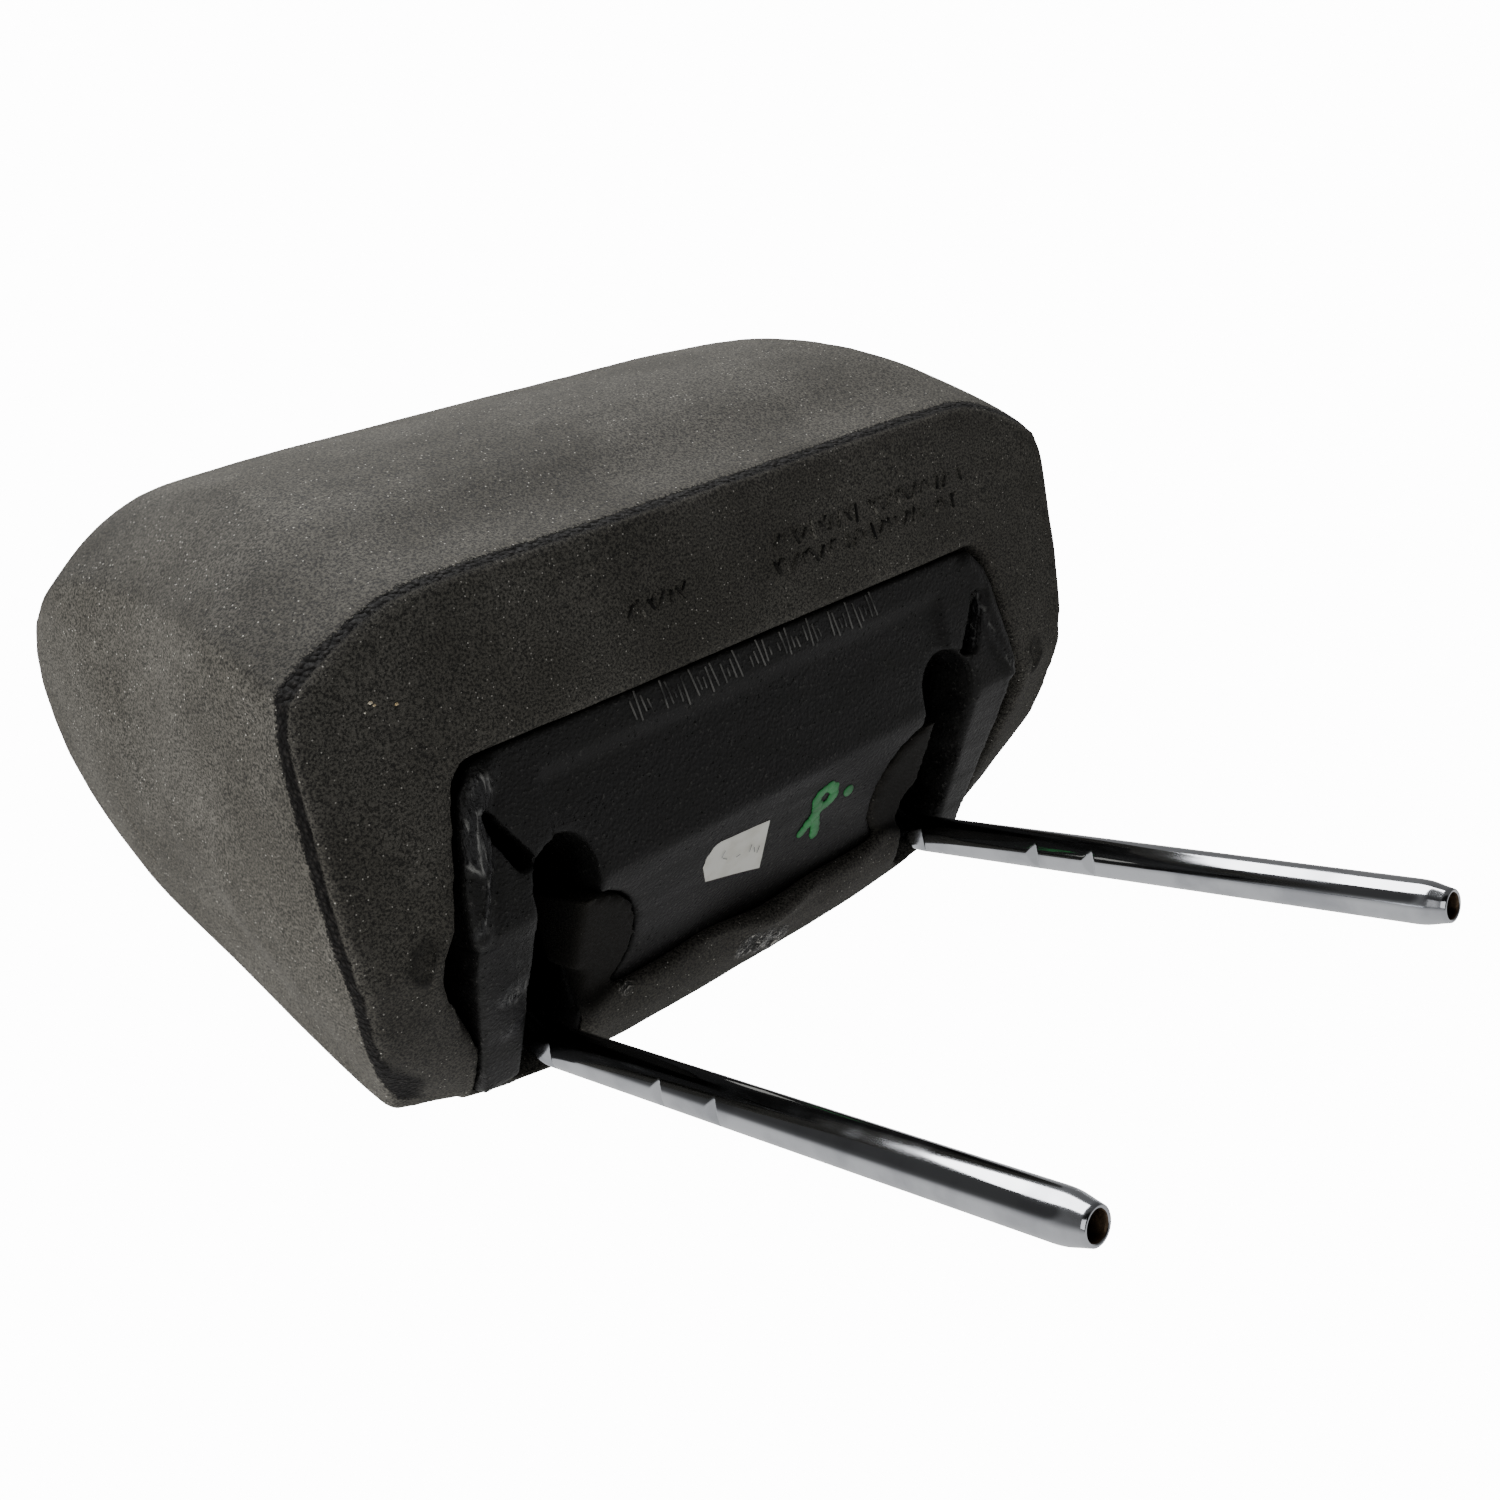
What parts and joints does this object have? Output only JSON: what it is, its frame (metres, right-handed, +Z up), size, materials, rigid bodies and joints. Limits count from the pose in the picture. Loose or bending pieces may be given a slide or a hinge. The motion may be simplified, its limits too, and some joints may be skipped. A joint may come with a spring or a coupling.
{
  "type": "headrest pad",
  "caption": "Bare foam headrest pad with a moulded core and two chromed notched posts; the pad tilts forward on the bent post tube.",
  "frame": {"origin": "midway between the axes of the two posts, level with the flat front part of the pad's underside", "axes": "+X along the width, +Y towards the rear of the seat, +Z up along the posts; the head touches the -Y side"},
  "size_m": [0.286, 0.1834, 0.3494],
  "materials": {
    "foam_skin": "open skin of moulded polyurethane foam",
    "core_plastic": "satin moulded",
    "chrome": "bright plated",
    "bush_plastic": "natural moulded",
    "plate_steel": "plain strip",
    "screw_steel": "zinc plated",
    "label_paper": "matt, uncoated"
  },
  "bodies": {
    "armature": {"armature_tube": "chrome"},
    "pad": {"foam_pad": "foam_skin", "core": "core_plastic", "pivot_bush_left": "bush_plastic", "pivot_bush_right": "bush_plastic", "keeper_plate_left": "plate_steel", "keeper_plate_right": "plate_steel", "keeper_screw_1": "screw_steel", "keeper_screw_2": "screw_steel", "keeper_screw_3": "screw_steel", "keeper_screw_4": "screw_steel", "label": "label_paper"}
  },
  "joints": [
    {"name": "pad_tilt", "type": "hinge", "parent": "armature", "child": "pad", "pos_m": [0, -0.045, 0.1], "axis": [1, 0, 0], "range_deg": [0, 25]}
  ]
}
